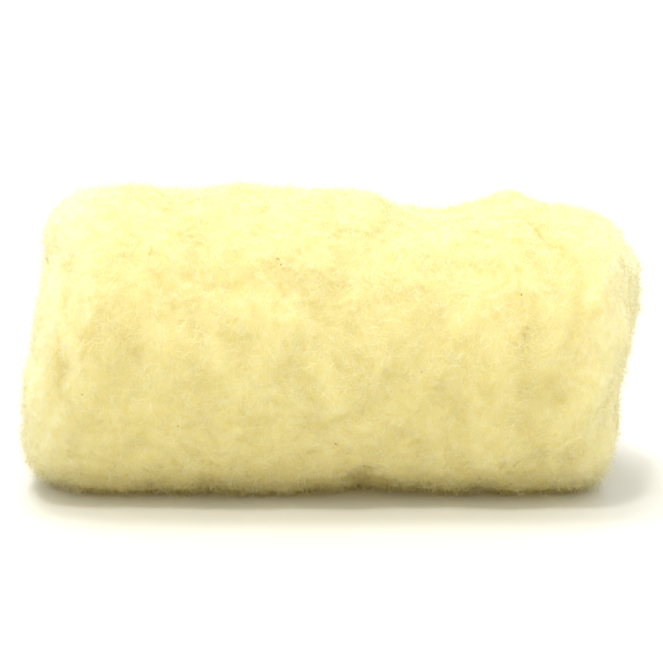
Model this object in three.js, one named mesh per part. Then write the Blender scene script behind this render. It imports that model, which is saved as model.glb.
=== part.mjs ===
// A carded wool batt: a thick, soft sheet of combed fleece wound up into a bolster, lying on its side.
// It is one piece of wool, so it is one solid, in millimetres. +X runs along the roll, +Y away from the
// viewer and +Z up. The origin is under the middle of the roll, on the surface that it lies on.
// Angles go round the roll in degrees: 0 at the top, 90 at the front, 180 underneath, 270 at the back.
import * as THREE from "three";

// Driving dimensions.
const BELLY_HEIGHT = 60; // height of the widest line, below mid-height because the wool sags
const UNDERSIDE = 66; // the section's reach below that line, before the surface flattens it
const SETTLE = 2.5; // how softly the flat spot rounds into the sides
const PRESSED = 0.3; // wool that would lie closer to the surface than this is pressed flat on it
const LEAN = 0.1; // sideways shift of the turns for each millimetre of height
const LAYER = 17; // thickness of one turn of the sheet
const MEAN_RADIUS = 70; // turns an angle into a length round the roll

// The roll's sections from left to right: place along the roll, height of the crown, and how far the
// front and the back stand out from the axis. The right half is slacker and lower.
const SECTIONS = [
  { at: -133, crown: 131, front: 69, back: 71 },
  { at: -110, crown: 131.5, front: 71, back: 73 },
  { at: -93, crown: 132.5, front: 72, back: 74 },
  { at: -66, crown: 130.5, front: 72, back: 73 },
  { at: -40, crown: 132, front: 73, back: 74 },
  { at: -15, crown: 131, front: 73, back: 73 },
  { at: 9, crown: 128.5, front: 72, back: 72 },
  { at: 24, crown: 123, front: 71, back: 71 },
  { at: 45, crown: 122, front: 72, back: 72 },
  { at: 60, crown: 125, front: 73, back: 73 },
  { at: 74, crown: 129.5, front: 73, back: 74 },
  { at: 90, crown: 126.5, front: 72, back: 73 },
  { at: 110, crown: 129, front: 71, back: 72 },
  { at: 130, crown: 129, front: 69, back: 70 },
];

// The two ends: how far each reaches from the middle, how square its outline is along the top and the
// underside (an exponent), and how far its inner turns have slid out, at what height and how widely.
const ENDS = {
  left: { reach: 130, top: 11, underside: 8, slid: 4, slidAt: 38, slidOver: 30 },
  right: { reach: 128, top: 5, underside: 15, slid: 8.5, slidAt: 86, slidOver: 28 },
};

// Soft troughs (negative rise) and ridges in the outer turn. Each follows a curve through three places
// on the surface, given along the roll and round it in degrees, and fades over its width.
const FOLDS = [
  { name: "right cuff crease, over the top", at: [66, 79, 89], round: [20, 24, 34], width: 6, rise: -1 },
  { name: "right cuff crease, down the front", at: [97, 104, 95], round: [50, 71, 99], width: 9, rise: -1.8 },
  { name: "right cuff ridge", at: [104, 111, 110], round: [50, 75, 95], width: 8, rise: 1.2 },
  { name: "right cuff lip, running under", at: [109, 99, 79], round: [94, 110, 122], width: 9, rise: 2.4 },
  { name: "right corner trough", at: [120, 119, 109], round: [97, 115, 130], width: 8, rise: -2.2 },
  { name: "right rim hollow", at: [129, 129, 128], round: [88, 97, 106], width: 11, rise: -4 },
  { name: "left cuff crease", at: [-118, -117, -115], round: [40, 66, 101], width: 8, rise: -1.8 },
  { name: "left cuff hollow, upper", at: [-118, -118, -117], round: [50, 55, 60], width: 6, rise: -1.4 },
  { name: "left cuff hollow, lower", at: [-116, -115, -115], round: [92, 96, 100], width: 8, rise: -1.6 },
  { name: "left corner hollow", at: [-127, -124, -120], round: [30, 38, 46], width: 9, rise: -2.5 },
  { name: "left rim hollow", at: [-131, -130, -130], round: [42, 62, 82], width: 13, rise: -4 },
  { name: "left rib", at: [-101, -105, -104], round: [60, 80, 100], width: 5, rise: 1.4 },
  { name: "left light patch", at: [-76, -52, -34], round: [76, 86, 103], width: 10, rise: 1.2 },
  { name: "left dark dimple", at: [-92, -88, -85], round: [86, 91, 96], width: 10, rise: -1.6 },
  { name: "pinch under the crown", at: [-62, -49, -37], round: [55, 60, 58], width: 7, rise: -1.5 },
  { name: "dimple below the pinch", at: [-53, -50, -47], round: [92, 95, 98], width: 8, rise: -1.6 },
  { name: "middle ridge", at: [-24, -10, 4], round: [68, 82, 102], width: 7, rise: 2 },
  { name: "middle trough", at: [-13, 5, 19], round: [60, 84, 100], width: 8, rise: -1.8 },
  { name: "middle rib", at: [5, 17, 26], round: [65, 82, 104], width: 6, rise: 1 },
  { name: "right dimple, upper", at: [38, 42, 46], round: [74, 77, 80], width: 8, rise: -1.4 },
  { name: "right dimple, lower", at: [50, 56, 62], round: [98, 101, 104], width: 10, rise: -1.6 },
  { name: "right dimple, outer", at: [84, 90, 95], round: [100, 104, 106], width: 11, rise: -1.6 },
  { name: "pinch at the foot", at: [17, 18, 19], round: [138, 152, 170], width: 6, rise: -3.5 },
  { name: "slack beside the pinch", at: [24, 32, 42], round: [148, 150, 153], width: 12, rise: -3 },
  { name: "back swell", at: [-70, -10, 60], round: [292, 284, 290], width: 20, rise: 2.5 },
  { name: "back crease, left", at: [-108, -98, -94], round: [320, 285, 258], width: 8, rise: -3.5 },
  { name: "back crease, middle", at: [-30, -18, 2], round: [318, 295, 275], width: 8, rise: -3 },
  { name: "back crease, right", at: [84, 98, 92], round: [325, 290, 262], width: 8, rise: -3.5 },
];

// The folds fade out round the ends, between these shares of the radius.
const FOLDS_FADE = { from: 0.9, to: 0.35 };

// The feathered outer edge of the sheet, which runs the length of the roll low on its back.
const LOOSE_EDGE = { round: 238, drop: 5, feather: 26, blunt: 5 };

// The gap between turns that shows as a spiral on each end.
const SPIRAL = { depth: 5.5, width: 2.8, opensBy: 0.1, closesFrom: 0.7, closesBy: 0.86 };

// Slow unevenness of the whole surface: waves along the roll and whole waves round it.
const WAVES = [
  { along: 61, round: 3, shift: 0.7, rise: 0.9 },
  { along: 37, round: 5, shift: 2.1, rise: 0.7 },
  { along: 24, round: 8, shift: 4.4, rise: 0.5 },
];

// Fineness of the surface.
const END_RINGS = 18;
const BODY_RINGS = 44;
const SIDES = 60;

const WOOL = new THREE.MeshStandardMaterial({ color: 0xf3e6a4, roughness: 1, metalness: 0 });

const radians = THREE.MathUtils.degToRad;
const smoothstep = THREE.MathUtils.smoothstep;
const bell = (distance, width) => Math.exp(-((distance / width) ** 2));

// The roll's section at a place along it, eased between the rows of the table.
function sectionAt(at) {
  const last = SECTIONS.length - 1;
  const next = SECTIONS.findIndex((row) => row.at > at);
  if (next === 0) return SECTIONS[0];
  if (next < 0) return SECTIONS[last];
  const [from, to] = [SECTIONS[next - 1], SECTIONS[next]];
  const share = smoothstep(at, from.at, to.at);
  const eased = (key) => THREE.MathUtils.lerp(from[key], to[key], share);
  return { crown: eased("crown"), front: eased("front"), back: eased("back") };
}

// Each fold's curve as places on the unrolled surface, close enough to measure a distance from.
const FOLD_STEPS = 20;
const foldCurves = FOLDS.map(({ at, round, width, rise }) => {
  const places = at.map((along, k) => new THREE.Vector2(along, radians(round[k]) * MEAN_RADIUS));
  return { points: new THREE.SplineCurve(places).getPoints(FOLD_STEPS), width, rise };
});

// How far the folds, the waves and the loose edge move the surface outwards at a place.
function relief(at, angle) {
  const here = new THREE.Vector2(at, angle * MEAN_RADIUS);
  let rise = 0;
  for (const fold of foldCurves) {
    const nearest = Math.min(...fold.points.map((point) => point.distanceTo(here)));
    rise += fold.rise * bell(nearest, fold.width);
  }
  for (const wave of WAVES) {
    const along = Math.sin((at / wave.along) * 2 * Math.PI + wave.shift);
    rise += wave.rise * along * Math.cos(wave.round * angle + wave.shift);
  }
  const pastEdge = LOOSE_EDGE.round - THREE.MathUtils.radToDeg(angle);
  const feathered = Math.exp(-Math.max(pastEdge, 0) / LOOSE_EDGE.feather);
  return rise - LOOSE_EDGE.drop * smoothstep(pastEdge, 0, LOOSE_EDGE.blunt) * feathered;
}

// Depth of the spiral gap on an end, at a share of the radius and an angle. It leaves the end at the
// loose edge and winds inwards by one layer a turn. It closes before the rim, where onEnd reaches 1.
function spiralGap(share, onEnd, angle) {
  const turnsIn = (share * MEAN_RADIUS - MEAN_RADIUS) / LAYER;
  const turn = turnsIn + (angle - radians(LOOSE_EDGE.round)) / (2 * Math.PI);
  const offLine = Math.abs(turn - Math.round(turn)) * LAYER;
  const closed = smoothstep(onEnd, SPIRAL.closesFrom, SPIRAL.closesBy);
  return SPIRAL.depth * bell(offLine, SPIRAL.width) * smoothstep(share, 0, SPIRAL.opensBy) * (1 - closed);
}

// The underside lies flat on the surface and rounds softly out of it.
function settle(height) {
  if (height >= SETTLE) return height;
  const rounded = height <= -SETTLE ? 0 : (height + SETTLE) ** 2 / (4 * SETTLE);
  return rounded < PRESSED ? 0 : rounded;
}

// A point of the roll. along and out place it on a square outline from -1 to 1 along the roll and from
// 0 at the axis to 1 at the outer turn; the ends' exponents round that outline off.
function pointAt(along, out, angle) {
  const end = along < 0 ? ENDS.left : ENDS.right;
  const square = THREE.MathUtils.lerp(end.underside, end.top, (1 + Math.cos(angle)) / 2);
  const rounding = (Math.abs(along) ** square + out ** square) ** (-1 / square);
  const share = out * rounding;
  const at = end.reach * along * rounding;

  const facingEnd = (Math.sign(along) * Math.abs(along * rounding) ** (square - 1)) / end.reach;
  const facingOut = share ** (square - 1) / MEAN_RADIUS;
  const facing = Math.hypot(facingEnd, facingOut);
  const moved = relief(at, angle) * smoothstep(share, FOLDS_FADE.to, FOLDS_FADE.from);
  const gap = along === 0 ? 0 : spiralGap(share, out / Math.abs(along), angle);

  const section = sectionAt(at);
  const upright = Math.cos(angle) > 0 ? section.crown - BELLY_HEIGHT : UNDERSIDE;
  const sideways = Math.sin(angle) > 0 ? section.front : section.back;
  const pushed = (moved * facingOut) / facing;
  const height = BELLY_HEIGHT + (share * upright + pushed) * Math.cos(angle);
  const depth = -(share * sideways + pushed) * Math.sin(angle);
  const offSlid = Math.hypot(height - end.slidAt, depth);
  const slid = Math.abs(along * rounding) ** square * end.slid * bell(offSlid, end.slidOver);
  const length = at + (moved * facingEnd) / facing + Math.sign(along) * (slid - gap);
  return [length + LEAN * (height - BELLY_HEIGHT), depth, settle(height)];
}

// The rings of the surface from the left axis point to the right one, as places on the square outline.
function ringPlaces() {
  const places = [];
  for (let k = 1; k < END_RINGS; k++) places.push([-1, k / END_RINGS]);
  for (let k = 0; k <= BODY_RINGS; k++) places.push([(2 * k) / BODY_RINGS - 1, 1]);
  for (let k = END_RINGS - 1; k > 0; k--) places.push([1, k / END_RINGS]);
  return places;
}

// The closed surface: rings of points joined by triangles, and a fan over the middle of each end.
function rollGeometry() {
  const places = ringPlaces();
  const positions = [];
  for (const [along, out] of places) {
    for (let side = 0; side < SIDES; side++) {
      positions.push(...pointAt(along, out, (side / SIDES) * 2 * Math.PI));
    }
  }
  const leftAxis = positions.length / 3;
  const rightAxis = leftAxis + 1;
  positions.push(...pointAt(-1, 0, 0), ...pointAt(1, 0, 0));

  const triangles = [];
  for (let side = 0; side < SIDES; side++) {
    const beside = (side + 1) % SIDES;
    const lastRing = (places.length - 1) * SIDES;
    triangles.push(leftAxis, beside, side);
    triangles.push(rightAxis, lastRing + side, lastRing + beside);
    for (let ring = 0; ring < places.length - 1; ring++) {
      const [a, b] = [ring * SIDES + side, ring * SIDES + beside];
      triangles.push(a, b, a + SIDES, b, b + SIDES, a + SIDES);
    }
  }
  const geometry = new THREE.BufferGeometry();
  geometry.setAttribute("position", new THREE.Float32BufferAttribute(positions, 3));
  geometry.setIndex(triangles);
  return geometry;
}

// Moves the roll so that the origin is under the middle of its box.
function centred(geometry) {
  geometry.computeBoundingBox();
  const middle = geometry.boundingBox.getCenter(new THREE.Vector3());
  geometry.translate(-middle.x, -middle.y, -geometry.boundingBox.min.z);
  geometry.computeVertexNormals();
  return geometry;
}

const roll = new THREE.Mesh(centred(rollGeometry()), WOOL);
roll.name = "rolled_batt";

const battRoll = new THREE.Group();
battRoll.name = "carded_wool_roll";
battRoll.add(roll);

export default battRoll;
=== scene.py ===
"""A carded wool batt, wound up into a soft bolster and lying on its side, dressed as real fleece.

Sizes are in millimetres and become metres where a mesh, a light or the camera is made. +X runs along the
roll, +Y away from the viewer and +Z up. Angles go round the roll in degrees: 0 at the top, 90 at the
front, 180 underneath and 270 at the back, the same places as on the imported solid.
"""
import logging
import math
from dataclasses import dataclass, field
from enum import Enum
from typing import Any

import bpy
import numpy as np
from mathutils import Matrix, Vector, noise


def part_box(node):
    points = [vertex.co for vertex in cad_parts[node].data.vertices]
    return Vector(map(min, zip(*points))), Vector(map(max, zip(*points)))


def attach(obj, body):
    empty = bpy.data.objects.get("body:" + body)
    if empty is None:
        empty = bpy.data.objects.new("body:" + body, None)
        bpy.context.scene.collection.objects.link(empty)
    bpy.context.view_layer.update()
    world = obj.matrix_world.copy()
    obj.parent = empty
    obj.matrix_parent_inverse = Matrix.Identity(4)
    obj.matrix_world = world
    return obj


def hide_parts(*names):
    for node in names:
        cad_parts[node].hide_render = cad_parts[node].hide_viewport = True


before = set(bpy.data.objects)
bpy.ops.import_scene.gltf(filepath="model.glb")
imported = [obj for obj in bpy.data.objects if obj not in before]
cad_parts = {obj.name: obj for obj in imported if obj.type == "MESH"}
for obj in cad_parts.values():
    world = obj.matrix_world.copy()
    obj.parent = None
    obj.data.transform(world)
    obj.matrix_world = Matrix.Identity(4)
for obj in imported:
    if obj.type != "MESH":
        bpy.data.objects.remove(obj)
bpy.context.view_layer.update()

LOG = logging.getLogger("wool_batt")
MM = 0.001
BODY = "root"
CAD_NODE = "rolled_batt"
TONE = "tone"
COMBED = "combed"
SEED = 41
TINY = 1e-9
NEXT_TO_NONE = 1e-6


class Lie(Enum):
    """How a strand of wool sits on the roll."""

    LYING = "combed down on the surface, with both ends tucked in"
    LOOPED = "sprung up off the surface, with both ends held"
    LOOSE = "held at one end, with the other free in the air"


class Pattern(Enum):
    """Where each noise pattern starts, so that no two are alike."""

    LUMPS = 3.7
    WANDER_ALONG = 5.3
    GAP_UNEVEN = 8.9
    TUFTS = 11.3
    WANDER_ROUND = 19.1
    SWIRL = 27.1
    GAP_WANDER = 41.3


# Shared helpers


def linear(hex_code: str) -> tuple[float, float, float, float]:
    """Turns an sRGB hex colour into linear red, green, blue and alpha.

    Args:
        hex_code: six hexadecimal digits after a hash sign.

    Returns:
        The four numbers that a shader's colour socket takes.
    """
    shares = [int(hex_code[k : k + 2], 16) / 255 for k in (1, 3, 5)]
    red, green, blue = (s / 12.92 if s <= 0.04045 else ((s + 0.055) / 1.055) ** 2.4 for s in shares)
    return red, green, blue, 1.0


def smoothstep(value: np.ndarray, low: float, high: float) -> np.ndarray:
    """Eases value from 0 at low to 1 at high."""
    share = np.clip((value - low) / (high - low), 0, 1)
    return share * share * (3 - 2 * share)


def bell(distance: np.ndarray, width: float) -> np.ndarray:
    """A smooth hump that is 1 where the distance is 0 and fades over the width."""
    return np.exp(-((distance / width) ** 2))


def cloud(points: np.ndarray, size: float, octaves: int, pattern: Pattern) -> np.ndarray:
    """Soft noise in space.

    Args:
        points: places in millimetres, one row each.
        size: the width of the largest lumps, in millimetres.
        octaves: how many sizes of lump there are, each half the last.
        pattern: which pattern it is.

    Returns:
        One value for each point, about -1 to 1.
    """
    places = points / size + pattern.value
    lumps = (noise.fractal(place, 1.0, 2.0, octaves) for place in places.tolist())
    return np.fromiter(lumps, float, len(points))


def add_node(
    tree: bpy.types.NodeTree,
    kind: str,
    settings: dict[str, Any] | None = None,
    inputs: dict[str | int, Any] | None = None,
) -> bpy.types.Node:
    """Adds a node to a material.

    Args:
        tree: the material's node tree.
        kind: the node's type name.
        settings: values of the node itself, by name.
        inputs: what each socket gets, by name or number: another node's output, or a plain value.

    Returns:
        The new node.
    """
    node = tree.nodes.new(kind)
    for name, value in (settings or {}).items():
        setattr(node, name, value)
    for socket, value in (inputs or {}).items():
        if isinstance(value, bpy.types.NodeSocket):
            tree.links.new(value, node.inputs[socket])
        else:
            node.inputs[socket].default_value = value
    return node


def empty_material(name: str) -> tuple[bpy.types.Material, bpy.types.NodeTree]:
    """Makes a material with an empty node tree."""
    material = bpy.data.materials.new(name)
    material.use_nodes = True
    material.node_tree.nodes.clear()
    return material, material.node_tree


def lit_through(
    tree: bpy.types.NodeTree,
    outside: bpy.types.NodeSocket,
    colour: bpy.types.NodeSocket | tuple[float, float, float, float],
    share: float,
) -> None:
    """Ends a material as its outside mixed with light that comes through it from behind.

    Args:
        tree: the material's node tree.
        outside: the shader of its outside.
        colour: the colour of the light that comes through.
        share: how much of the light comes through, from 0 to 1.
    """
    through = add_node(tree, "ShaderNodeBsdfTranslucent", inputs={"Color": colour})
    both = add_node(
        tree, "ShaderNodeMixShader", inputs={"Fac": share, 1: outside, 2: through.outputs["BSDF"]}
    )
    add_node(tree, "ShaderNodeOutputMaterial", inputs={"Surface": both.outputs["Shader"]})


def in_scene(name: str, data: bpy.types.ID) -> bpy.types.Object:
    """Makes an object of a mesh, a light or a camera, and links it to the scene."""
    made = bpy.data.objects.new(name, data)
    bpy.context.scene.collection.objects.link(made)
    return made


def make_mesh(
    name: str,
    points: np.ndarray,
    faces: list[np.ndarray],
    point_values: dict[str, np.ndarray] | None = None,
    normals: np.ndarray | None = None,
) -> bpy.types.Object:
    """Makes a smooth mesh object.

    Args:
        name: the object's and the mesh's name.
        points: its vertices in millimetres, one row each.
        faces: arrays of faces, each array with its own number of corners to a face.
        point_values: named values for each vertex, either a number or three.
        normals: the way that light meets each vertex, where it isn't the mesh's own.

    Returns:
        The object, linked to the scene.
    """
    mesh = bpy.data.meshes.new(name)
    mesh.vertices.add(len(points))
    mesh.vertices.foreach_set("co", (points * MM).astype(np.float32).ravel())
    corners = np.concatenate([group.ravel() for group in faces]).astype(np.int32)
    counts = np.concatenate([np.full(len(group), group.shape[1]) for group in faces])
    starts = np.concatenate([[0], np.cumsum(counts)[:-1]]).astype(np.int32)
    mesh.loops.add(len(corners))
    mesh.loops.foreach_set("vertex_index", corners)
    mesh.polygons.add(len(counts))
    mesh.polygons.foreach_set("loop_start", starts)
    mesh.polygons.foreach_set("use_smooth", np.ones(len(counts), bool))
    for value_name, values in (point_values or {}).items():
        kind, key = ("FLOAT", "value") if values.ndim == 1 else ("FLOAT_VECTOR", "vector")
        attribute = mesh.attributes.new(value_name, kind, "POINT")
        attribute.data.foreach_set(key, values.astype(np.float32).ravel())
    mesh.update(calc_edges=True)
    if normals is not None:
        mesh.normals_split_custom_set_from_vertices(normals)
    return in_scene(name, mesh)


# The roll's form


@dataclass(frozen=True)
class Section:
    """One section of the roll: its place along it, its crown's height, and its front's and back's reach."""

    at: float
    crown: float
    front: float
    back: float


@dataclass(frozen=True)
class RollEnd:
    """One end of the roll.

    reach is its distance from the middle. top and underside are exponents that say how square its outline
    is there. slid is how far the inner turns have come out, at the height slid_at and as wide as slid_over.
    """

    reach: float
    top: float
    underside: float
    slid: float
    slid_at: float
    slid_over: float


@dataclass(frozen=True)
class Fold:
    """A soft trough (negative rise) or ridge that follows a curve through three places on the surface."""

    name: str
    at: tuple[float, float, float]
    round: tuple[float, float, float]
    width: float
    rise: float

    def line(self, radius: float, steps: int = 36) -> np.ndarray:
        """The fold's curve on the unrolled surface, in millimetres, as points close together."""
        a, b, c = (np.array([x, math.radians(y) * radius]) for x, y in zip(self.at, self.round))
        share = np.linspace(0, 1, steps)[:, None]
        through = 2 * b - (a + c) / 2
        return (1 - share) ** 2 * a + 2 * share * (1 - share) * through + share**2 * c


@dataclass(frozen=True)
class Wave:
    """A slow wave: its length along the roll, its whole waves round it, its phase and its rise."""

    along: float
    round: int
    shift: float
    rise: float


SECTIONS = (
    Section(at=-133, crown=131, front=69, back=71),
    Section(at=-110, crown=131.5, front=71, back=73),
    Section(at=-93, crown=132.5, front=72, back=74),
    Section(at=-66, crown=130.5, front=72, back=73),
    Section(at=-40, crown=132, front=73, back=74),
    Section(at=-15, crown=131, front=73, back=73),
    Section(at=9, crown=128.5, front=72, back=72),
    Section(at=24, crown=123, front=71, back=71),
    Section(at=45, crown=122, front=72, back=72),
    Section(at=60, crown=125, front=73, back=73),
    Section(at=74, crown=129.5, front=73, back=74),
    Section(at=90, crown=126.5, front=72, back=73),
    Section(at=110, crown=129, front=71, back=72),
    Section(at=130, crown=129, front=69, back=70),
)

FOLDS = (
    Fold("right cuff crease, over the top", (66, 79, 89), (20, 24, 34), width=6, rise=-1),
    Fold("right cuff crease, down the front", (97, 104, 95), (50, 71, 99), width=9, rise=-1.8),
    Fold("right cuff ridge", (104, 111, 110), (50, 75, 95), width=8, rise=1.2),
    Fold("right cuff lip, running under", (109, 99, 79), (94, 110, 122), width=9, rise=2.4),
    Fold("right corner trough", (120, 119, 109), (97, 115, 130), width=8, rise=-2.2),
    Fold("right rim hollow", (129, 129, 128), (88, 97, 106), width=11, rise=-4),
    Fold("left cuff crease", (-118, -117, -115), (40, 66, 101), width=8, rise=-1.8),
    Fold("left cuff hollow, upper", (-118, -118, -117), (50, 55, 60), width=6, rise=-1.4),
    Fold("left cuff hollow, lower", (-116, -115, -115), (92, 96, 100), width=8, rise=-1.6),
    Fold("left corner hollow", (-127, -124, -120), (30, 38, 46), width=9, rise=-2.5),
    Fold("left rim hollow", (-131, -130, -130), (42, 62, 82), width=13, rise=-4),
    Fold("left rib", (-101, -105, -104), (60, 80, 100), width=5, rise=1.4),
    Fold("left light patch", (-76, -52, -34), (76, 86, 103), width=10, rise=1.2),
    Fold("left dark dimple", (-92, -88, -85), (86, 91, 96), width=10, rise=-1.6),
    Fold("pinch under the crown", (-62, -49, -37), (55, 60, 58), width=7, rise=-1.5),
    Fold("dimple below the pinch", (-53, -50, -47), (92, 95, 98), width=8, rise=-1.6),
    Fold("middle ridge", (-24, -10, 4), (68, 82, 102), width=7, rise=2),
    Fold("middle trough", (-13, 5, 19), (60, 84, 100), width=8, rise=-1.8),
    Fold("middle rib", (5, 17, 26), (65, 82, 104), width=6, rise=1),
    Fold("right dimple, upper", (38, 42, 46), (74, 77, 80), width=8, rise=-1.4),
    Fold("right dimple, lower", (50, 56, 62), (98, 101, 104), width=10, rise=-1.6),
    Fold("right dimple, outer", (84, 90, 95), (100, 104, 106), width=11, rise=-1.6),
    Fold("pinch at the foot", (17, 18, 19), (138, 152, 170), width=6, rise=-3.5),
    Fold("slack beside the pinch", (24, 32, 42), (148, 150, 153), width=12, rise=-3),
    Fold("back swell", (-70, -10, 60), (292, 284, 290), width=20, rise=2.5),
    Fold("back crease, left", (-108, -98, -94), (320, 285, 258), width=8, rise=-3.5),
    Fold("back crease, middle", (-30, -18, 2), (318, 295, 275), width=8, rise=-3),
    Fold("back crease, right", (84, 98, 92), (325, 290, 262), width=8, rise=-3.5),
)

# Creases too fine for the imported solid, which the strands follow.
CREASES = (
    Fold("arc under the crown, right", (66, 80, 93), (20, 25, 41), width=1.8, rise=-1),
    Fold("arc, down the front", (93, 102, 98), (42, 60, 78), width=3, rise=-0.6),
    Fold("left cuff line, upper", (-117, -116, -116), (44, 56, 68), width=2.4, rise=-0.9),
    Fold("left cuff line, lower", (-115, -115, -114), (78, 88, 98), width=2.6, rise=-0.9),
    Fold("line under the crown, left", (-62, -49, -37), (55, 60, 58), width=3, rise=-0.5),
    Fold("pucker over the foot pinch", (16, 18, 20), (118, 128, 138), width=3, rise=-0.5),
)

WAVES = (
    Wave(along=61, round=3, shift=0.7, rise=0.9),
    Wave(along=37, round=5, shift=2.1, rise=0.7),
    Wave(along=24, round=8, shift=4.4, rise=0.5),
)


@dataclass(frozen=True)
class RollForm:
    """The wound form of the batt: its sections, ends, folds, loose edge and the spiral on its ends."""

    belly_height: float = 60.0
    underside: float = 66.0
    settle: float = 2.5
    pressed: float = 0.3
    lean: float = 0.1
    layer: float = 17.0
    mean_radius: float = 70.0
    left: RollEnd = RollEnd(reach=130, top=11, underside=8, slid=4, slid_at=38, slid_over=30)
    right: RollEnd = RollEnd(reach=128, top=5, underside=15, slid=8.5, slid_at=86, slid_over=28)
    folds_fade_from: float = 0.9
    folds_fade_to: float = 0.35
    loose_edge_round: float = 238.0
    loose_edge_drop: float = 5.0
    loose_edge_feather: float = 26.0
    loose_edge_blunt: float = 5.0
    gap_depth: float = 5.0
    gap_width: float = 2.6
    gap_opens_by: float = 0.1
    gap_closes_from: float = 0.7
    gap_closes_by: float = 0.86
    gap_wander: float = 4.0
    gap_wander_size: float = 24.0
    gap_mean: float = 0.75
    gap_uneven: float = 1.1
    gap_range: tuple[float, float] = (0.1, 1.3)
    gap_widens: float = 0.6
    gap_uneven_size: float = 15.0
    wander: float = 3.0
    wander_size: float = 16.0
    end_rings: int = 44
    body_rings: int = 180
    sides: int = 270

    def section_at(self, at: np.ndarray) -> tuple[np.ndarray, np.ndarray, np.ndarray]:
        """Eases between the sections.

        Args:
            at: places along the roll.

        Returns:
            The crown's height and the front's and back's reach at each place.
        """
        places = np.array([row.at for row in SECTIONS])
        after = np.clip(np.searchsorted(places, at, side="right"), 1, len(SECTIONS) - 1)
        share = np.clip((at - places[after - 1]) / (places[after] - places[after - 1]), 0, 1)
        share = share * share * (3 - 2 * share)
        found = []
        for key in ("crown", "front", "back"):
            values = np.array([getattr(row, key) for row in SECTIONS])
            found.append(values[after - 1] * (1 - share) + values[after] * share)
        return found[0], found[1], found[2]

    def wandered(self, at: np.ndarray, angle: np.ndarray) -> tuple[np.ndarray, np.ndarray]:
        """Shifts places a little, so that a fold's sides wander as loose wool's do.

        Args:
            at: places along the roll.
            angle: angles round it, in radians.

        Returns:
            The shifted places along the roll and angles round it.
        """
        at, angle = np.broadcast_arrays(at, angle)
        round_it = [np.cos(angle) * self.mean_radius, np.sin(angle) * self.mean_radius]
        places = np.stack([at, *round_it], axis=-1).reshape(-1, 3)
        along, around = (
            cloud(places, self.wander_size, 3, pattern).reshape(at.shape)
            for pattern in (Pattern.WANDER_ALONG, Pattern.WANDER_ROUND)
        )
        return at + along * self.wander, angle + around * self.wander / self.mean_radius

    def folded(self, folds: tuple[Fold, ...], at: np.ndarray, angle: np.ndarray) -> np.ndarray:
        """How far a set of folds moves the surface outwards.

        Args:
            folds: the folds.
            at: places along the roll.
            angle: angles round it, in radians.

        Returns:
            The rise at each place, in millimetres.
        """
        turn = 2 * math.pi * self.mean_radius
        at, angle = self.wandered(at, angle)
        rise = np.zeros(at.shape)
        for fold in folds:
            nearest = np.full(rise.shape, np.inf)
            for along, around in fold.line(self.mean_radius):
                apart = (angle * self.mean_radius - around + turn / 2) % turn - turn / 2
                nearest = np.minimum(nearest, (at - along) ** 2 + apart**2)
            rise += fold.rise * bell(np.sqrt(nearest), fold.width)
        return rise

    def relief(self, at: np.ndarray, angle: np.ndarray) -> np.ndarray:
        """How far the folds, the waves and the loose edge move the surface outwards.

        Args:
            at: places along the roll.
            angle: angles round it, in radians.

        Returns:
            The rise at each place, in millimetres.
        """
        rise = self.folded(FOLDS, at, angle)
        for wave in WAVES:
            lengthways = np.sin(at / wave.along * 2 * math.pi + wave.shift)
            rise += wave.rise * lengthways * np.cos(wave.round * angle + wave.shift)
        past_edge = self.loose_edge_round - np.degrees(angle)
        under = smoothstep(past_edge, 0, self.loose_edge_blunt)
        feathered = under * np.exp(-np.maximum(past_edge, 0) / self.loose_edge_feather)
        return rise - self.loose_edge_drop * feathered

    def spiral_gap(
        self, side: np.ndarray, share: np.ndarray, on_end: np.ndarray, angle: np.ndarray
    ) -> np.ndarray:
        """Depth of the gap between turns on an end, which leaves it at the loose edge and winds inwards.

        Args:
            side: -1 on the left end and 1 on the right one.
            share: how far out from the axis, from 0 to 1.
            on_end: how far out on the end's face, where 1 is the rim and the gap has closed.
            angle: angles round the roll, in radians.

        Returns:
            The depth at each place, in millimetres.
        """
        side, share, on_end, angle = np.broadcast_arrays(side, share, on_end, angle)
        out = share * self.mean_radius
        places = np.stack([side * self.mean_radius, out * np.cos(angle), out * np.sin(angle)], axis=-1)
        shift, uneven = (
            cloud(places.reshape(-1, 3), size, 3, pattern).reshape(share.shape)
            for size, pattern in (
                (self.gap_wander_size, Pattern.GAP_WANDER),
                (self.gap_uneven_size, Pattern.GAP_UNEVEN),
            )
        )
        turns_in = (out - self.mean_radius + shift * self.gap_wander) / self.layer
        turn = turns_in + (angle - math.radians(self.loose_edge_round)) / (2 * math.pi)
        off_line = np.abs(turn - np.round(turn)) * self.layer
        opened = smoothstep(share, 0, self.gap_opens_by)
        shown = opened * (1 - smoothstep(on_end, self.gap_closes_from, self.gap_closes_by))
        depth = self.gap_depth * np.clip(self.gap_mean + self.gap_uneven * uneven, *self.gap_range)
        return depth * bell(off_line, self.gap_width * (1 + self.gap_widens * uneven)) * shown

    def points(
        self, along: np.ndarray, out: np.ndarray, angle: np.ndarray
    ) -> tuple[np.ndarray, np.ndarray, np.ndarray]:
        """Points of the roll.

        Args:
            along: places on a square outline from -1 to 1 along the roll.
            out: places from 0 at the axis to 1 at the outer turn.
            angle: angles round the roll, in radians.

        Returns:
            The points in millimetres, each one's place along the roll, and the depth of the spiral gap there.
        """
        side = np.sign(along)
        is_left = along < 0
        end = {
            key: np.where(is_left, getattr(self.left, key), getattr(self.right, key))
            for key in ("reach", "top", "underside", "slid", "slid_at", "slid_over")
        }
        topness = (1 + np.cos(angle)) / 2
        square = end["underside"] * (1 - topness) + end["top"] * topness
        rounding = (np.abs(along) ** square + out**square) ** (-1 / square)
        share = out * rounding
        at = end["reach"] * along * rounding

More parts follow.
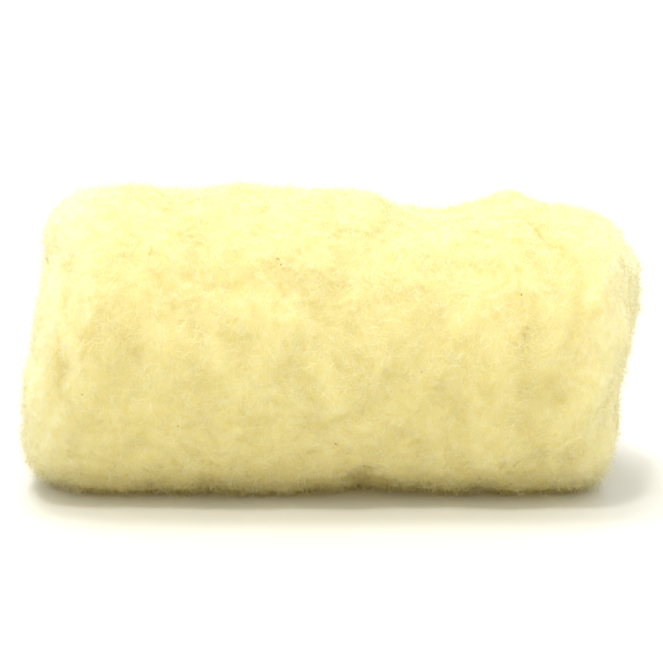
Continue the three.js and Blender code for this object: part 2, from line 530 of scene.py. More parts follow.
        facing_end = side * np.abs(along * rounding) ** (square - 1) / end["reach"]
        facing_out = share ** (square - 1) / self.mean_radius
        facing = np.hypot(facing_end, facing_out)
        moved = self.relief(at, angle) * smoothstep(share, self.folds_fade_to, self.folds_fade_from)
        gap = self.spiral_gap(side, share, out / np.maximum(np.abs(along), TINY), angle)

        crown, front, back = self.section_at(at)
        upright = np.where(np.cos(angle) > 0, crown - self.belly_height, self.underside)
        sideways = np.where(np.sin(angle) > 0, front, back)
        pushed = moved * facing_out / facing
        height = self.belly_height + (share * upright + pushed) * np.cos(angle)
        depth = -(share * sideways + pushed) * np.sin(angle)
        off_slid = np.hypot(height - end["slid_at"], depth)
        slid = np.abs(along * rounding) ** square * end["slid"] * bell(off_slid, end["slid_over"])
        length = at + moved * facing_end / facing + side * (slid - gap)
        leaned = length + self.lean * (height - self.belly_height)
        return np.stack([leaned, depth, self.settled(height)], axis=-1), at, gap

    def settled(self, height: np.ndarray) -> np.ndarray:
        """Flattens what would lie under the surface, and rounds softly out of it."""
        soft = (height + self.settle) ** 2 / (4 * self.settle)
        rounded = np.where(height >= self.settle, height, np.where(height <= -self.settle, 0, soft))
        return np.where(rounded < self.pressed, 0, rounded)

    def surface(self) -> "Surface":
        """The form as a fine closed surface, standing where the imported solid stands."""
        ends = np.arange(1, self.end_rings) / self.end_rings
        body = np.linspace(-1, 1, self.body_rings + 1)
        along = np.concatenate([np.full(len(ends), -1.0), body, np.full(len(ends), 1.0)])
        out = np.concatenate([ends, np.ones(len(body)), ends[::-1]])
        angle = np.arange(self.sides) / self.sides * 2 * math.pi
        points, at, gap = self.points(along[:, None], out[:, None], angle[None, :])
        lowest, highest = points.min(axis=(0, 1)), points.max(axis=(0, 1))
        packed_low, packed_high = (np.array(corner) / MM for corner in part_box(CAD_NODE))
        points += (packed_low + packed_high - lowest - highest) / 2 * [1, 1, 0]
        points[..., 2] += packed_low[2] - lowest[2]
        return Surface(points, at, angle, gap)


class Surface:
    """A closed surface made of rings along the roll, each with as many sides."""

    def __init__(self, points: np.ndarray, at: np.ndarray, angle: np.ndarray, gap: np.ndarray) -> None:
        """Keeps the points and works out the normals and the spacing.

        Args:
            points: points in millimetres, by ring and side.
            at: each point's place along the roll.
            angle: the angle of each side, in radians.
            gap: the depth of the spiral gap at each point.
        """
        self.points = points
        self.at = at
        self.angle = angle
        self.gap = gap
        self.rings, self.sides = points.shape[:2]
        ring_way = np.gradient(points, axis=0)
        side_way = (np.roll(points, -1, axis=1) - np.roll(points, 1, axis=1)) / 2
        across = np.cross(side_way, ring_way)
        area = np.linalg.norm(across, axis=-1)
        self.normals = across / np.maximum(area, TINY)[..., None]
        self.cell_area = area
        self.ring_step = np.linalg.norm(ring_way, axis=-1)
        self.side_step = np.linalg.norm(side_way, axis=-1)

    def raised(self, rise: np.ndarray) -> "Surface":
        """The same surface moved outwards by a rise for each point, and kept above the floor."""
        points = self.points + self.normals * rise[..., None]
        points[..., 2] = np.maximum(points[..., 2], 0)
        return Surface(points, self.at, self.angle, self.gap)

    def read(self, values: np.ndarray, ring: np.ndarray, side: np.ndarray) -> np.ndarray:
        """Reads values between the rings and sides.

        Args:
            values: one entry for each ring and side.
            ring: ring numbers, with fractions.
            side: side numbers, with fractions, which may go on past a full turn.

        Returns:
            The value at each place.
        """
        first_ring = np.clip(np.floor(ring).astype(int), 0, self.rings - 2)
        first_side = np.floor(side).astype(int)
        past_ring = np.clip(ring - first_ring, 0, 1)
        past_side = side - first_side
        first_side, next_side = first_side % self.sides, (first_side + 1) % self.sides
        next_ring = first_ring + 1
        if values.ndim == 3:
            past_ring, past_side = past_ring[..., None], past_side[..., None]
        near = values[first_ring, first_side] * (1 - past_side) + values[first_ring, next_side] * past_side
        far = values[next_ring, first_side] * (1 - past_side) + values[next_ring, next_side] * past_side
        return near * (1 - past_ring) + far * past_ring

    def faces(self) -> list[np.ndarray]:
        """The quads between the rings, and a fan of triangles over the middle of each end."""
        side = np.arange(self.sides)
        beside = (side + 1) % self.sides
        ring = np.arange(self.rings - 1)[:, None] * self.sides
        after = ring + self.sides
        quads = np.stack([ring + side, ring + beside, after + beside, after + side], -1)
        left_axis = self.rings * self.sides
        last_ring = (self.rings - 1) * self.sides
        left = np.stack([np.full(self.sides, left_axis), beside, side], -1)
        right = np.stack([np.full(self.sides, left_axis + 1), last_ring + side, last_ring + beside], -1)
        return [quads.reshape(-1, 4), np.concatenate([left, right])]

    def with_axis(self, values: np.ndarray) -> np.ndarray:
        """Values for each vertex of the mesh: those of the rings, then the mean of each end's first ring."""
        flat = values.reshape(self.rings * self.sides, -1)
        ends = np.stack([values[0].mean(axis=0).reshape(-1), values[-1].mean(axis=0).reshape(-1)])
        return np.concatenate([flat, ends]).reshape(-1, *values.shape[2:])


# Finishes


@dataclass(frozen=True)
class WoolTones:
    """Undyed wool's colours, from where the eye looks deep into it to its raised fibre ends, picked by a tone
    that also holds painted shade and painted rim light.
    """

    deep: str
    plain: str
    pale: str
    deep_at: float = 0.0
    plain_at: float = 0.5
    pale_at: float = 1.0

    def colour(self, tree: bpy.types.NodeTree, tone: bpy.types.NodeSocket) -> bpy.types.NodeSocket:
        """Colours the wool by its tone.

        Args:
            tree: the material's node tree.
            tone: the output that gives the tone.

        Returns:
            The output that gives the colour.
        """
        colours = add_node(tree, "ShaderNodeValToRGB", inputs={"Fac": tone})
        ramp = colours.color_ramp
        ramp.elements[0].position, ramp.elements[0].color = self.deep_at, linear(self.deep)
        ramp.elements[1].position, ramp.elements[1].color = self.pale_at, linear(self.pale)
        ramp.elements.new(self.plain_at).color = linear(self.plain)
        return colours.outputs["Color"]


@dataclass(frozen=True)
class CardedWool:
    """Carded, undyed wool in the mass: matt and cloudy, and golden where the eye looks into it.

    Light goes a few millimetres into the fleece and comes back warmer. The yellower hollows, creases, foot
    and spiral gap are painted shade carried in the tone attribute, and the paler end bands and rims are
    painted rim light there.
    There is no gloss, only the pale bloom of fibre ends at the rim.
    """

    tones: WoolTones = WoolTones("#E6DA90", "#EDE4A8", "#F5EFC0", deep_at=0.2, plain_at=0.7)
    ior: float = 1.55
    shine: float = 0.1
    scatter_share: float = 0.95
    scatter_depth: float = 12.0
    scatter_colour: tuple[float, float, float] = (1.0, 0.88, 0.45)
    bloom: float = 0.25
    bloom_roughness: float = 0.6
    let_through: float = 0.25
    let_through_colour: str = "#EEDE8C"
    # Carding leaves tufts of 3 to 4 mm, a little darker or paler than the wool round them.
    mottle_size: float = 3.5
    mottle_share: float = 0.4
    # A fibre is about 0.03 mm across, too fine to show, so this is a lock of them, as a bump.
    fibre_size: float = 0.9
    fibre_rise: float = 0.35
    fibre_strength: float = 0.8

    def make(self) -> bpy.types.Material:
        """Builds the material."""
        material, tree = empty_material("carded_wool_fleece")
        tone = add_node(tree, "ShaderNodeAttribute", {"attribute_name": TONE})
        combed = add_node(tree, "ShaderNodeAttribute", {"attribute_name": COMBED})
        mottle = add_node(
            tree,
            "ShaderNodeTexNoise",
            inputs={"Vector": combed.outputs["Vector"], "Scale": 1 / self.mottle_size, "Detail": 4.0},
        )
        # The tone attribute holds painted shade and painted rim light. The mottle added to it is the wool's
        # own.
        lifted = add_node(
            tree,
            "ShaderNodeMath",
            {"operation": "MULTIPLY_ADD"},
            {0: mottle.outputs["Fac"], 1: self.mottle_share, 2: tone.outputs["Fac"]},
        )
        fibres = add_node(
            tree,
            "ShaderNodeTexNoise",
            inputs={
                "Vector": combed.outputs["Vector"],
                "Scale": 1 / self.fibre_size,
                "Detail": 3.0,
                "Distortion": 1.5,
            },
        )
        bump = add_node(
            tree,
            "ShaderNodeBump",
            inputs={
                "Height": fibres.outputs["Fac"],
                "Distance": self.fibre_rise * MM,
                "Strength": self.fibre_strength,
            },
        )
        shader = add_node(
            tree,
            "ShaderNodeBsdfPrincipled",
            inputs={
                "Base Color": self.tones.colour(tree, lifted.outputs[0]),
                "Roughness": 1.0,
                "IOR": self.ior,
                "Specular IOR Level": self.shine,
                "Subsurface Weight": self.scatter_share,
                "Subsurface Radius": self.scatter_colour,
                "Subsurface Scale": self.scatter_depth * MM,
                "Sheen Weight": self.bloom,
                "Sheen Roughness": self.bloom_roughness,
                "Sheen Tint": linear(self.tones.pale),
                "Normal": bump.outputs["Normal"],
            },
        )
        lit_through(tree, shader.outputs["BSDF"], linear(self.let_through_colour), self.let_through)
        return material


@dataclass(frozen=True)
class WoolFibre:
    """Single wool fibres and fine wisps of them: pale, slightly see-through and barely glossy.

    A lone fibre lets light through, so the strands glow against the denser wool behind them and fade
    into the light at the outline.
    """

    name: str = "carded_wool_fibre"
    tones: WoolTones = WoolTones("#EFE3A4", "#F5EDB8", "#FAF6D4")
    ior: float = 1.55
    roughness: float = 0.8
    shine: float = 0.15
    let_through: float = 0.5

    def make(self) -> bpy.types.Material:
        """Builds the material."""
        material, tree = empty_material(self.name)
        tone = add_node(tree, "ShaderNodeAttribute", {"attribute_name": TONE})
        colour = self.tones.colour(tree, tone.outputs["Fac"])
        outside = add_node(
            tree,
            "ShaderNodeBsdfPrincipled",
            inputs={
                "Base Color": colour,
                "Roughness": self.roughness,
                "IOR": self.ior,
                "Specular IOR Level": self.shine,
            },
        )
        lit_through(tree, outside.outputs["BSDF"], colour, self.let_through)
        return material


@dataclass(frozen=True)
class StrawFleck:
    """A crumb of dry straw that carding has left in the wool: dull, brown and a little streaked."""

    dark: str = "#6E5C3C"
    light: str = "#A08A5C"
    ior: float = 1.5
    roughness: float = 0.8
    streak: float = 0.25

    def make(self) -> bpy.types.Material:
        """Builds the material."""
        material, tree = empty_material("dry_straw_crumb")
        place = add_node(tree, "ShaderNodeTexCoord")
        streaks = add_node(
            tree,
            "ShaderNodeTexNoise",
            inputs={"Vector": place.outputs["Object"], "Scale": 1 / (self.streak * MM)},
        )
        colour = add_node(
            tree,
            "ShaderNodeMix",
            {"data_type": "RGBA"},
            {"Factor": streaks.outputs["Fac"], "A": linear(self.dark), "B": linear(self.light)},
        )
        shader = add_node(
            tree,
            "ShaderNodeBsdfPrincipled",
            inputs={"Base Color": colour.outputs[2], "Roughness": self.roughness, "IOR": self.ior},
        )
        add_node(tree, "ShaderNodeOutputMaterial", inputs={"Surface": shader.outputs["BSDF"]})
        return material


@dataclass(frozen=True)
class PaleFloor:
    """Pale grey satin board, bright under the lights, which mirrors the wool softly where they touch."""

    colour: str = "#D3D1C8"
    ior: float = 1.5
    roughness: float = 0.5

    def make(self) -> bpy.types.Material:
        """Builds the material."""
        material, tree = empty_material("pale_satin_board")
        shader = add_node(
            tree,
            "ShaderNodeBsdfPrincipled",
            inputs={"Base Color": linear(self.colour), "Roughness": self.roughness, "IOR": self.ior},
        )
        add_node(tree, "ShaderNodeOutputMaterial", inputs={"Surface": shader.outputs["BSDF"]})
        return material


# The batt


@dataclass
class WoolMass:
    """The dense wool under the loose fibres: the roll's form with the tufts that carding leaves.

    Each field named for a tone, a painted shade or a painted light says how much paler, or darker if
    negative, the wool is there.
    The plain tone is the wool's own. The lumps and tufts vary it at random and also paint shade into their
    hollows.
    The relief, the creases, the foot and the spiral gap carry painted shade, and the relief's ridges carry
    painted light.
    The end bands and rims carry painted rim light.
    """

    form: RollForm = field(default_factory=RollForm)
    sunk: float = 0.8
    lump_size: float = 15.0
    lump_rise: float = 0.3
    tuft_size: float = 5.0
    tuft_rise: float = 0.2
    end_streaks: float = 1.8
    # The end bands, where the strands are combed round the roll and painted rim light makes the wool paler.
    band_from: float = 92.0
    band_to: float = 116.0
    # Where the painted rim light at the rims starts and where it is full, along the roll.
    rim_from: float = 110.0
    rim_to: float = 129.0
    # How high above the floor the painted shade at the foot reaches.
    foot_height: float = 30.0
    plain_tone: float = 0.5
    # Lumps and tufts vary the tone at random. They follow the rise that the same noise gives, so their
    # hollows also carry painted shade.
    lump_tone_and_shade: float = 0.05
    tuft_tone_and_shade: float = 0.09
    # Painted shade in the troughs of the folds, waves and loose edge, and painted light on their ridges.
    relief_painted_shade: float = 0.01
    most_fold: float = 6.0
    # Painted shade in the fine creases.
    crease_painted_shade: float = 0.25
    # Painted rim light: the end bands and rims are paler.
    band_painted_light: float = 0.2
    rim_painted_light: float = 0.42
    # Painted shade: darker low down at the foot.
    foot_painted_shade: float = -0.08
    # Painted shade in the spiral gap on the ends.
    gap_painted_shade: float = -0.07
    fill: float = 0.5

    def combed_places(self, surface: Surface) -> np.ndarray:
        """Places for patterns that run round the roll on its end bands, in millimetres."""
        fade = self.band_to - self.band_from
        share = np.clip((np.abs(surface.at) - self.band_from) / fade, 0, 1)
        inside = fade * (share**3 - share**4 / 2) + np.maximum(np.abs(surface.at) - self.band_to, 0)
        squeezed = surface.points.copy()
        squeezed[..., 0] += (self.end_streaks - 1) * np.sign(surface.at) * inside
        return squeezed

    def build(self) -> tuple[bpy.types.Object, Surface, np.ndarray]:
        """Builds the piece.

        Returns:
            The object, its surface, and the tone at each point, from about 0 to 1, which holds painted shade
            and painted rim light as well as the wool's own tone.
        """
        smooth = self.form.surface()
        combed = self.combed_places(smooth)
        flat_places = combed.reshape(-1, 3)
        lumps = cloud(flat_places, self.lump_size, 2, Pattern.LUMPS).reshape(smooth.at.shape)
        tufts = cloud(flat_places, self.tuft_size, 3, Pattern.TUFTS).reshape(smooth.at.shape)
        folds = self.form.relief(smooth.at, smooth.angle[None, :])
        creases = self.form.folded(CREASES, smooth.at, smooth.angle[None, :])
        surface = smooth.raised(self.lump_rise * lumps + self.tuft_rise * tufts + creases - self.sunk)
        # Where the painted rim light falls on the end bands and rims.
        band_light_mask = smoothstep(np.abs(smooth.at), self.band_from, self.band_to)
        rim_light_mask = smoothstep(np.abs(smooth.at), self.rim_from, self.rim_to)
        # Where the painted shade at the foot falls.
        foot_shade_mask = 1 - smoothstep(smooth.points[..., 2], 0, self.foot_height)
        # The wool's own plain tone and random lumps and tufts, whose hollows also carry painted shade.
        tone = self.plain_tone + self.lump_tone_and_shade * lumps + self.tuft_tone_and_shade * tufts
        # Painted shade in the relief's troughs and in the creases, and painted light on the ridges.
        tone += self.relief_painted_shade * np.clip(folds, -self.most_fold, self.most_fold) + self.crease_painted_shade * creases
        # Painted rim light, paler towards the ends.
        tone += self.band_painted_light * band_light_mask + self.rim_painted_light * rim_light_mask
        # Painted shade at the foot and in the spiral gap.
        tone += self.foot_painted_shade * foot_shade_mask + self.gap_painted_shade * smooth.gap
        values = {TONE: surface.with_axis(tone), COMBED: surface.with_axis(combed)}
        piece = make_mesh("wool_mass", surface.with_axis(surface.points), surface.faces(), values)
        piece.data.materials.append(CardedWool().make())
        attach(piece, BODY)
        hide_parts(CAD_NODE)
        return piece, surface, tone


@dataclass
class StrandLayer:
    """One layer of wool strands over the roll, joined into one mesh of fine tapered ribbons.

    Strands lie in wisps that share their way, their curl and their crimp. lift is the least and the most
    height of a strand above the wool. Low on the roll they are pressed down by its weight. heights, where
    given, are the heights above the floor that the layer keeps to. A single fibre is about 0.03 mm across,
    too fine to show, so a strand is as wide as a few of them side by side.
    """

    name: str
    count: int
    lift: tuple[float, float]
    length: tuple[float, float]
    width: float
    lie: Lie = Lie.LYING
    per_wisp: int = 6
    wisp_spread: float = 1.6
    stray: float = 0.25
    segments: int = 6
    crimp_length: float = 4.6
    crimp: float = 0.75
    curl: float = 0.09
    own_curl: float = 0.6
    own_phase: float = 0.5
    wisp_lift: tuple[float, float] = (0.7, 1.3)
    crimp_range: tuple[float, float] = (0.5, 1.3)
    wave_range: tuple[float, float] = (0.75, 1.3)
    width_range: tuple[float, float] = (0.6, 1.4)
    tip: float = 0.15
    tuck: float = 0.5
    free_bend: float = 1.3
    flat_arch: float = 0.7
    roll_over: float = 0.6
    most_over: float = 0.9
    heights: tuple[float, float] | None = None
    tone_spread: float = 0.36
    paler: float = 0.1
    finish: WoolFibre = WoolFibre()
    swirl_size: float = 34.0
    swirl: float = 1.9 * math.pi
    band_combed: float = 0.92
    least_step: float = 0.3
    least_shown: float = 0.03
    shown_from: float = 0.1
    shown_by: float = 1.5
    pressed_lift: float = 0.8
    pressed_height: float = 6.0
    even_steps: tuple[float, float] = (0.7548776662, 0.5698402910)

    def scatter(
        self, rng: np.random.Generator, surface: Surface, count: int
    ) -> tuple[np.ndarray, np.ndarray]:
        """Spreads places evenly over what shows of the surface.

        Args:
            rng: the random numbers.
            surface: the wool's surface.
            count: how many places.

        Returns:
            Ring and side numbers, with fractions.
        """
        height = surface.points[..., 2]
        shown = smoothstep(height, self.shown_from, self.shown_by)
        weight = surface.cell_area * (self.least_shown + (1 - self.least_shown) * shown)
        if self.heights:
            low, high = self.heights
            weight = np.where((height > low) & (height < high), weight, NEXT_TO_NONE * weight)
        weight[:2] = weight[-2:] = NEXT_TO_NONE
        by_ring = np.cumsum(weight.sum(axis=1)) / weight.sum()
        by_side = np.cumsum(weight, axis=1) / weight.sum(axis=1, keepdims=True)
        number = np.arange(count)
        ring_share = (rng.random() + number * self.even_steps[0]) % 1
        side_share = (rng.random() + number * self.even_steps[1]) % 1
        ring = np.minimum(np.searchsorted(by_ring, ring_share), surface.rings - 1)
        in_order = (by_side + np.arange(surface.rings)[:, None]).ravel()
        side = np.searchsorted(in_order, ring + side_share) - ring * surface.sides
        return ring + rng.uniform(-0.5, 0.5, count), side + rng.uniform(-0.5, 0.5, count)

    def rising(self, share: float) -> float:
        """How high a strand is at a share of its length, where 1 is the layer's lift."""
        if self.lie is Lie.LOOSE:
            return share**self.free_bend
        arch = math.sin(math.pi * share)
        return arch if self.lie is Lie.LOOPED else arch**self.flat_arch

    def heading(
        self, surface: Surface, ring: np.ndarray, side: np.ndarray, mass: WoolMass
    ) -> np.ndarray:
        """The way that wisps run: in swirls over the roll, and round it on its end bands.

        Args:
            surface: the wool's surface.
            ring: the wisps' ring numbers, with fractions.
            side: their side numbers, with fractions.
            mass: the wool under the strands, which says where the end bands are.

        Returns:
            The way of each wisp, in radians from along the roll towards round it.
        """
        at = surface.read(surface.at, ring, side)
        band = smoothstep(np.abs(at), mass.band_from, mass.band_to)
        places = surface.read(surface.points, ring, side)
        swirl = cloud(places, self.swirl_size, 2, Pattern.SWIRL) * self.swirl
        return math.pi / 2 + swirl * (1 - self.band_combed * band)

    def build(
        self, rng: np.random.Generator, surface: Surface, tone: np.ndarray, mass: WoolMass
    ) -> bpy.types.Object:
        """Builds the layer.

        Args:
            rng: the random numbers.
            surface: the wool's surface.
            tone: the wool's tone at each ring and side, painted shade and painted rim light included.
            mass: the wool under the strands.

        Returns:
            The object.
        """
        wisps = -(-self.count // self.per_wisp)
        wisp = np.arange(self.count) % wisps
        wisp_ring, wisp_side = self.scatter(rng, surface, wisps)
        way = self.heading(surface, wisp_ring, wisp_side, mass) + rng.normal(0, self.stray, wisps)
        curl = rng.normal(0, self.curl, wisps)
        phase = rng.uniform(0, 2 * math.pi, wisps)
        wisp_lift = rng.uniform(*self.wisp_lift, wisps)
        wisp_tone = rng.normal(0, self.tone_spread, wisps)

        spread = rng.normal(0, self.wisp_spread, (2, self.count))
        ring_step = np.maximum(surface.read(surface.ring_step, wisp_ring, wisp_side), self.least_step)
        side_step = np.maximum(surface.read(surface.side_step, wisp_ring, wisp_side), self.least_step)
        ring = wisp_ring[wisp] + spread[0] / ring_step[wisp]
        side = wisp_side[wisp] + spread[1] / side_step[wisp]
        start_way = way[wisp] + rng.normal(0, self.stray, self.count)
        bend = curl[wisp] + rng.normal(0, self.curl * self.own_curl, self.count)
        wave_start = phase[wisp] + rng.normal(0, self.own_phase, self.count)
        crimp = self.crimp * rng.uniform(*self.crimp_range, self.count)
        wave_length = self.crimp_length * rng.uniform(*self.wave_range, self.count)
        length = rng.uniform(*self.length, self.count)
        lift = rng.uniform(*self.lift, self.count) * wisp_lift[wisp]
        height = surface.read(surface.points, wisp_ring, wisp_side)[wisp, 2]
        lift *= self.pressed_lift + (1 - self.pressed_lift) * smoothstep(height, 0.0, self.pressed_height)
        own_tone = self.paler + wisp_tone[wisp] + rng.normal(0, self.tone_spread, self.count)

        step = length / self.segments
        middle = np.zeros((self.count, self.segments + 1, 3))
        upward = np.zeros_like(middle)
        shade = np.zeros((self.count, self.segments + 1))
        for k in range(self.segments + 1):
            share = k / self.segments
            rising = self.rising(share)
            up = surface.read(surface.normals, ring, side)
            up /= np.maximum(np.linalg.norm(up, axis=-1, keepdims=True), TINY)
            place = surface.read(surface.points, ring, side)
            middle[:, k] = place + up * (lift * rising - self.tuck * (1 - rising))[:, None]
            upward[:, k] = up
            # Each strand takes the wool's tone under it, painted shade and painted rim light included, plus
            # its own random tone.
            shade[:, k] = surface.read(tone, ring, side) + own_tone
            travelled = step * k
            heading = start_way + bend * travelled
            heading += crimp * np.sin(2 * math.pi * travelled / wave_length + wave_start)
            ring_step = np.maximum(surface.read(surface.ring_step, ring, side), self.least_step)
            ring = ring + np.cos(heading) * step / ring_step
            side_step = np.maximum(surface.read(surface.side_step, ring, side), self.least_step)
            side = side + np.sin(heading) * step / side_step
            ring = np.clip(ring, 1.0, surface.rings - 2.0)
        middle[..., 2] = np.maximum(middle[..., 2], self.width / 2)
        return self.ribbons(rng, middle, upward, shade)

    def ribbons(
        self, rng: np.random.Generator, middle: np.ndarray, upward: np.ndarray, shade: np.ndarray
    ) -> bpy.types.Object:
        """Makes the strands' mesh.

        Args:
            rng: the random numbers.
            middle: the points of each strand's line.
            upward: the way out of the wool at each point.
            shade: the tone at each point, painted shade and painted rim light included.

        Returns:
            The object.
        """
        way = np.gradient(middle, axis=1)
        way /= np.maximum(np.linalg.norm(way, axis=-1, keepdims=True), TINY)
        across = np.cross(way, upward)
        across /= np.maximum(np.linalg.norm(across, axis=-1, keepdims=True), TINY)
        over = np.cross(across, way)
        turn = np.clip(rng.normal(0, self.roll_over, (self.count, 1, 1)), -self.most_over, self.most_over)
        twisted = across * np.cos(turn) + over * np.sin(turn)
        share = np.linspace(-1, 1, self.segments + 1)
        taper = (1 - (1 - self.tip) * np.abs(share) ** 3)[None, :, None]
        width = self.width * rng.uniform(*self.width_range, (self.count, 1, 1)) * taper
        edges = np.stack([middle - twisted * width / 2, middle + twisted * width / 2], axis=2)
        edges[..., 2] = np.maximum(edges[..., 2], 0)
        points = edges.reshape(-1, 3)
        tones = np.repeat(shade, 2, axis=1).ravel()

        row = np.arange(self.segments) * 2
        strand = np.arange(self.count)[:, None] * 2 * (self.segments + 1)
        first = strand + row
        quads = np.stack([first, first + 1, first + 3, first + 2], axis=-1).reshape(-1, 4)
        normals = np.repeat(upward, 2, axis=1).reshape(-1, 3)
        piece = make_mesh(self.name, points, [quads], {TONE: tones}, normals)
        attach(piece, BODY)
        return piece


FUZZ = WoolFibre(name="loose_wool_fuzz", tones=WoolTones("#F4ECB8", "#F8F2C8", "#FBF9E2"))


@dataclass
class WoolCoat:
    """The strands over the wool mass: wisps combed down on it, and the fuzz that softens its outline."""

    seed: int = SEED
    layers: tuple[StrandLayer, ...] = (
        StrandLayer("wisps_inner", 9500, lift=(0.1, 0.8), length=(7, 13), width=0.2, per_wisp=2),
        StrandLayer(
            "wisps_outer", 16400, lift=(0.3, 1.6), length=(6, 11), width=0.18,
            per_wisp=4, wisp_spread=0.5,
        ),
        StrandLayer(
            "short_fuzz", 24500, lift=(0.4, 2.4), length=(3.5, 7), width=0.21, lie=Lie.LOOPED,
            per_wisp=3, wisp_spread=0.6, stray=0.6, segments=4,
        ),
        StrandLayer(
            "foot_curls", 3700, lift=(1.5, 4.5), length=(5, 10), width=0.15, lie=Lie.LOOPED,
            per_wisp=3, wisp_spread=0.8, stray=0.7, segments=6, heights=(2.0, 14.0), finish=FUZZ,
        ),
        StrandLayer(
            "long_fuzz", 19700, lift=(0.8, 4.2), length=(5, 9), width=0.11, lie=Lie.LOOPED,
            per_wisp=2, wisp_spread=2.5, stray=0.9, segments=5, finish=FUZZ,
        ),
        StrandLayer(
            "flyaway_fibres", 8000, lift=(1.5, 6.0), length=(5, 10), width=0.09, lie=Lie.LOOSE,
            per_wisp=2, wisp_spread=2.5, stray=0.9, segments=6, finish=FUZZ,
        ),
    )

    def build(self, surface: Surface, tone: np.ndarray, mass: WoolMass) -> list[bpy.types.Object]:
        """Builds every layer.

        Args:
            surface: the wool's surface.
            tone: the wool's tone at each ring and side, painted shade and painted rim light included.
            mass: the wool under the strands.

        Returns:
            The objects.
        """
        rng = np.random.default_rng(self.seed)
        finishes: dict[WoolFibre, bpy.types.Material] = {}
        made = []
        for layer in self.layers:
            piece = layer.build(rng, surface, tone, mass)
            if layer.finish not in finishes:
                finishes[layer.finish] = layer.finish.make()
            piece.data.materials.append(finishes[layer.finish])
            made.append(piece)
        return made


@dataclass(frozen=True)
class FleckPlace:
    """Where one crumb of straw lies: its place along the roll and round it, its length and its way."""

    at: float
    round: float
    length: float
    way: float


FLECKS = (
    FleckPlace(at=-25.5, round=49, length=1.6, way=20),
    FleckPlace(at=-24, round=51, length=1.1, way=70),
    FleckPlace(at=77, round=61, length=1.3, way=100),
    FleckPlace(at=6, round=116, length=1.5, way=40),
    FleckPlace(at=-101, round=96, length=0.9, way=10),
    FleckPlace(at=38, round=88, length=0.8, way=130),
    FleckPlace(at=-60, round=108, length=0.8, way=80),
    FleckPlace(at=-48, round=262, length=1.4, way=30),
    FleckPlace(at=31, round=281, length=1.2, way=150),
    FleckPlace(at=88, round=300, length=1.0, way=60),
    FleckPlace(at=12, round=338, length=0.9, way=15),
)


@dataclass
class StrawFlecks:
    """The few crumbs of dry straw caught among the top strands, joined into one mesh."""

    places: tuple[FleckPlace, ...] = FLECKS
    stand: float = 1.5
    thickness: float = 0.5
    blunt: float = 0.25
    corners: int = 6
    rows: int = 5

    def crumb(self, surface: Surface, place: FleckPlace) -> np.ndarray:
        """One crumb, a small pointed grain.

        Args:
            surface: the wool's surface.
            place: where the crumb lies.

        Returns:
            Its points, ring after ring from one tip to the other.
        """
        side = np.array([place.round / 360 * surface.sides])
        ring = np.array([float(np.argmin(np.abs(surface.at[:, int(side[0])] - place.at)))])
        spot = surface.read(surface.points, ring, side)[0]
        up = surface.read(surface.normals, ring, side)[0]
        along = np.cross(up, [0.0, 0.0, 1.0])
        along /= np.linalg.norm(along)
        rising = np.cross(along, up)
        turn = math.radians(place.way)
        lengthways = along * math.cos(turn) + rising * math.sin(turn)
        across = np.cross(up, lengthways)
        angle = np.arange(self.corners) / self.corners * 2 * math.pi
        circle = np.outer(np.cos(angle), across) + np.outer(np.sin(angle), up)
        rings = []
        for share in np.linspace(0, 1, self.rows):
            radius = self.thickness / 2 * (self.blunt + (1 - self.blunt) * math.sin(math.pi * share))
            middle = spot + up * self.stand + lengthways * place.length * (share - 0.5)
            rings.append(middle + circle * radius)
        return np.concatenate(rings)

    def build(self, surface: Surface) -> bpy.types.Object:
        """Builds the piece.

        Args:
            surface: the wool's surface.

        Returns:
            The object.
        """
        points = np.concatenate([self.crumb(surface, place) for place in self.places])
        start = np.arange(len(self.places)) * self.rows * self.corners
        corner = np.arange(self.corners)
        beside = (corner + 1) % self.corners
        near = start[:, None, None] + np.arange(self.rows - 1)[None, :, None] * self.corners
        far = near + self.corners
        quads = np.stack([near + corner, near + beside, far + beside, far + corner], -1)
        last = start + (self.rows - 1) * self.corners
        tips = np.concatenate([start[:, None] + corner[::-1], last[:, None] + corner])
        piece = make_mesh("straw_flecks", points, [quads.reshape(-1, 4), tips])
        piece.data.materials.append(StrawFleck().make())
        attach(piece, BODY)
        return piece


# The studio


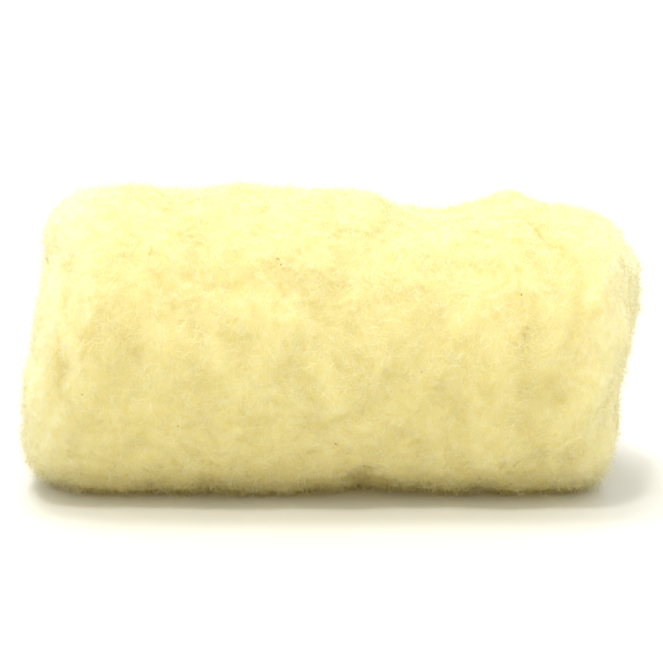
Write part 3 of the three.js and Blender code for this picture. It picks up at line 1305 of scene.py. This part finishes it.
@dataclass
class Studio:
    """Plain soft light over a pale floor, and the camera at the photograph's angle."""

    distance: float = 900.0
    elevation: float = 10.0
    aim: tuple[float, float, float] = (0.0, 0.0, 66.6)
    lens: float = 108.8
    sees_to: float = 100000.0
    floor_size: float = 90000.0
    top_light: float = 1.15
    top_spread: float = 8.0
    top_elevation: float = 108.0
    back_light: float = 1.4
    back_spread: float = 22.0
    back_elevation: float = 80.0
    from_left: float = 9.0
    fill_power: float = 4.2
    fill_place: tuple[float, float, float] = (0.0, -1500.0, 210.0)
    fill_size: tuple[float, float] = (1400.0, 400.0)
    side_power: float = 0.6
    side_place: tuple[float, float, float] = (650.0, 60.0, 260.0)
    side_size: tuple[float, float] = (600.0, 500.0)
    ceiling_light: float = 1.0
    ceiling_spread: float = 115.0
    ceiling_elevation: float = 90.0
    room_light: float = 0.86
    room_colour: str = "#FBFCFF"

    def camera(self) -> bpy.types.Object:
        """Makes the camera and gives it to the scene."""
        data = bpy.data.cameras.new("camera")
        data.lens = self.lens
        data.clip_end = self.sees_to * MM
        camera = in_scene("camera", data)
        tilt = math.radians(self.elevation)
        back = Vector((0, -math.cos(tilt), math.sin(tilt)))
        camera.location = (Vector(self.aim) + back * self.distance) * MM
        camera.rotation_euler = (-back).to_track_quat("-Z", "Y").to_euler()
        bpy.context.scene.camera = camera
        return camera

    def softbox(
        self, name: str, power: float, place: tuple[float, float, float], size: tuple[float, float]
    ) -> bpy.types.Object:
        """Makes a large soft light that faces the roll.

        Args:
            name: the light's name.
            power: its power in watts.
            place: where it stands, in millimetres.
            size: its width and height, in millimetres.

        Returns:
            The light.
        """
        data = bpy.data.lights.new(name, "AREA")
        data.shape = "RECTANGLE"
        data.size, data.size_y = (side * MM for side in size)
        data.energy = power
        light = in_scene(name, data)
        light.location = Vector(place) * MM
        light.rotation_euler = (-light.location).to_track_quat("-Z", "Y").to_euler()
        return light

    def far_light(self, name: str, strength: float, spread: float, elevation: float) -> bpy.types.Object:
        """Makes a light so high above the roll that it falls evenly on the whole floor.

        Args:
            name: the light's name.
            strength: its strength in watts for each square metre.
            spread: how wide it looks from the roll, in degrees.
            elevation: its height above the horizon behind the roll, in degrees, where 90 is overhead and
                more is in front.

        Returns:
            The light.
        """
        data = bpy.data.lights.new(name, "SUN")
        data.energy = strength
        data.angle = math.radians(spread)
        light = in_scene(name, data)
        light.rotation_euler = (math.radians(elevation - 90), math.radians(-self.from_left), 0)
        return light

    def lights(self) -> None:
        """Makes the two lights high above, the white ceiling, and softboxes beside and in front."""
        self.far_light("overhead_light", self.top_light, self.top_spread, self.top_elevation)
        self.far_light("high_back_light", self.back_light, self.back_spread, self.back_elevation)
        self.far_light("white_ceiling", self.ceiling_light, self.ceiling_spread, self.ceiling_elevation)
        away, back, height = self.side_place
        self.softbox("left_softbox", self.side_power, (-away, back, height), self.side_size)
        self.softbox("right_softbox", self.side_power, (away, back, height), self.side_size)
        self.softbox("front_softbox", self.fill_power, self.fill_place, self.fill_size)

    def room(self) -> None:
        """Fills the room with even, near-white light."""
        world = bpy.data.worlds.new("white_room")
        world.use_nodes = True
        background = world.node_tree.nodes["Background"]
        background.inputs["Color"].default_value = linear(self.room_colour)
        background.inputs["Strength"].default_value = self.room_light
        bpy.context.scene.world = world

    def floor(self) -> bpy.types.Object:
        """Lays the pale floor."""
        half = self.floor_size / 2
        corners = np.array([[-half, -half, 0], [half, -half, 0], [half, half, 0], [-half, half, 0]])
        floor = make_mesh("floor", corners, [np.array([[0, 1, 2, 3]])])
        floor.data.materials.append(PaleFloor().make())
        return floor

    def build(self) -> None:
        """Sets up the camera, the lights and the floor."""
        self.camera()
        self.lights()
        self.room()
        self.floor()
        bpy.context.scene.view_settings.view_transform = "Standard"


def report(piece: bpy.types.Object) -> None:
    """Logs a piece's name and size."""
    corners = len(piece.data.loops)
    triangles = corners - 2 * len(piece.data.polygons)
    LOG.info("%s: %d triangles", piece.name, triangles)


def main() -> None:
    """Builds the studio, the wool and its strands, in that order."""
    logging.basicConfig(level=logging.INFO, format="%(name)s %(message)s")
    Studio().build()
    mass = WoolMass()
    body, surface, tone = mass.build()
    report(body)
    for piece in WoolCoat().build(surface, tone, mass):
        report(piece)
    report(StrawFlecks().build(surface))


if __name__ == "__main__":
    main()
